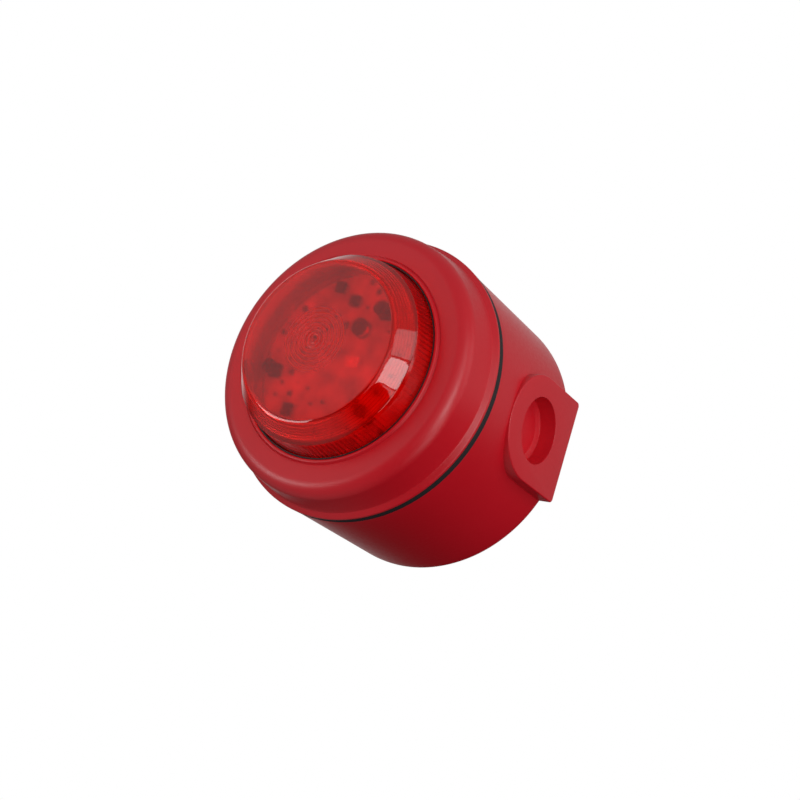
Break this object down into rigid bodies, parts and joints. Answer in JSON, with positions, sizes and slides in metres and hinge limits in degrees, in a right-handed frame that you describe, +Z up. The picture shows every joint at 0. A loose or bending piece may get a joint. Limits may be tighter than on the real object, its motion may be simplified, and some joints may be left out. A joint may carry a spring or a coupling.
{
  "type": "horn strobe",
  "caption": "Wall-mounted fire alarm sounder beacon: deep round base with a conduit pad, bayonet head and a red lens with Fresnel rings.",
  "frame": {"origin": "centre of the rear mounting face", "axes": "+Y out of the rear face into the wall, -Y to the front along the body's axis, +Z up, +X towards the conduit pad"},
  "size_m": [0.1032, 0.0914, 0.1032],
  "materials": {
    "red_moulding": "satin",
    "red_lens": "polished, translucent",
    "black_rubber": "matte",
    "black_moulding": "satin",
    "ivory_moulding": "satin",
    "green_moulding": "satin",
    "plated_steel": "zinc plated",
    "spring_brass": "bright",
    "circuit_board": "solder mask",
    "white_board": "white solder mask",
    "led_body": "clear dome on white body",
    "capacitor_sleeve": "shrink sleeve",
    "ferrite": "ferrite",
    "switch_red": "satin",
    "trimmer_blue": "satin"
  },
  "bodies": {
    "base": {"deep_base": "red_moulding", "terminal_carrier": "ivory_moulding", "carrier_screw_1": "plated_steel", "carrier_screw_2": "plated_steel", "terminal_block": "green_moulding", "terminal_screw_1": "plated_steel", "terminal_screw_2": "plated_steel", "terminal_screw_3": "plated_steel", "terminal_screw_4": "plated_steel", "terminal_screw_5": "plated_steel", "terminal_screw_6": "plated_steel", "base_contact_1": "spring_brass", "base_contact_2": "spring_brass", "base_contact_3": "spring_brass", "base_contact_4": "spring_brass"},
    "seal": {"base_seal": "black_rubber"},
    "head": {"head_bezel": "red_moulding", "beacon_lens": "red_lens", "sound_grille": "black_moulding", "beacon_board": "white_board", "beacon_led": "led_body", "beacon_capacitor_1": "capacitor_sleeve", "beacon_capacitor_2": "capacitor_sleeve", "beacon_transistor_1": "black_moulding", "beacon_transistor_2": "black_moulding", "beacon_transistor_3": "black_moulding", "beacon_transistor_4": "black_moulding", "beacon_chip": "black_moulding", "beacon_coil": "ferrite", "main_board": "circuit_board", "sounder_cup": "black_moulding", "sounder_disc": "spring_brass", "storage_capacitor_1": "capacitor_sleeve", "storage_capacitor_2": "capacitor_sleeve", "drive_inductor": "ferrite", "controller_chip": "black_moulding", "rear_cover": "black_moulding", "head_screw_1": "plated_steel", "head_screw_2": "plated_steel", "head_screw_3": "plated_steel", "head_contact_1": "spring_brass", "head_contact_2": "spring_brass", "head_contact_3": "spring_brass", "head_contact_4": "spring_brass", "dip_switch_body": "switch_red", "volume_pot_body": "trimmer_blue"},
    "dip_lever_1": {"dip_lever_1": "ivory_moulding"},
    "dip_lever_2": {"dip_lever_2": "ivory_moulding"},
    "dip_lever_3": {"dip_lever_3": "ivory_moulding"},
    "dip_lever_4": {"dip_lever_4": "ivory_moulding"},
    "dip_lever_5": {"dip_lever_5": "ivory_moulding"},
    "volume_rotor": {"volume_rotor": "ivory_moulding"}
  },
  "joints": [
    {"name": "head_lift", "type": "slide", "parent": "base", "child": "seal", "axis": [0, -1, 0], "range_m": [0, 0.03]},
    {"name": "head_turn", "type": "hinge", "parent": "seal", "child": "head", "pos_m": [0, -0.057, 0], "axis": [0, 1, 0], "range_deg": [0, 20]},
    {"name": "volume_turn", "type": "hinge", "parent": "head", "child": "volume_rotor", "pos_m": [0.02, -0.0443, -0.008], "axis": [0, 1, 0], "range_deg": [-135, 135]},
    {"name": "dip_slide_1", "type": "slide", "parent": "head", "child": "dip_lever_1", "axis": [0, 0, 1], "range_m": [0, 0.0022]},
    {"name": "dip_slide_2", "type": "slide", "parent": "head", "child": "dip_lever_2", "axis": [0, 0, 1], "range_m": [0, 0.0022]},
    {"name": "dip_slide_3", "type": "slide", "parent": "head", "child": "dip_lever_3", "axis": [0, 0, 1], "range_m": [0, 0.0022]},
    {"name": "dip_slide_4", "type": "slide", "parent": "head", "child": "dip_lever_4", "axis": [0, 0, 1], "range_m": [0, 0.0022]},
    {"name": "dip_slide_5", "type": "slide", "parent": "head", "child": "dip_lever_5", "axis": [0, 0, 1], "range_m": [0, 0.0022]}
  ]
}
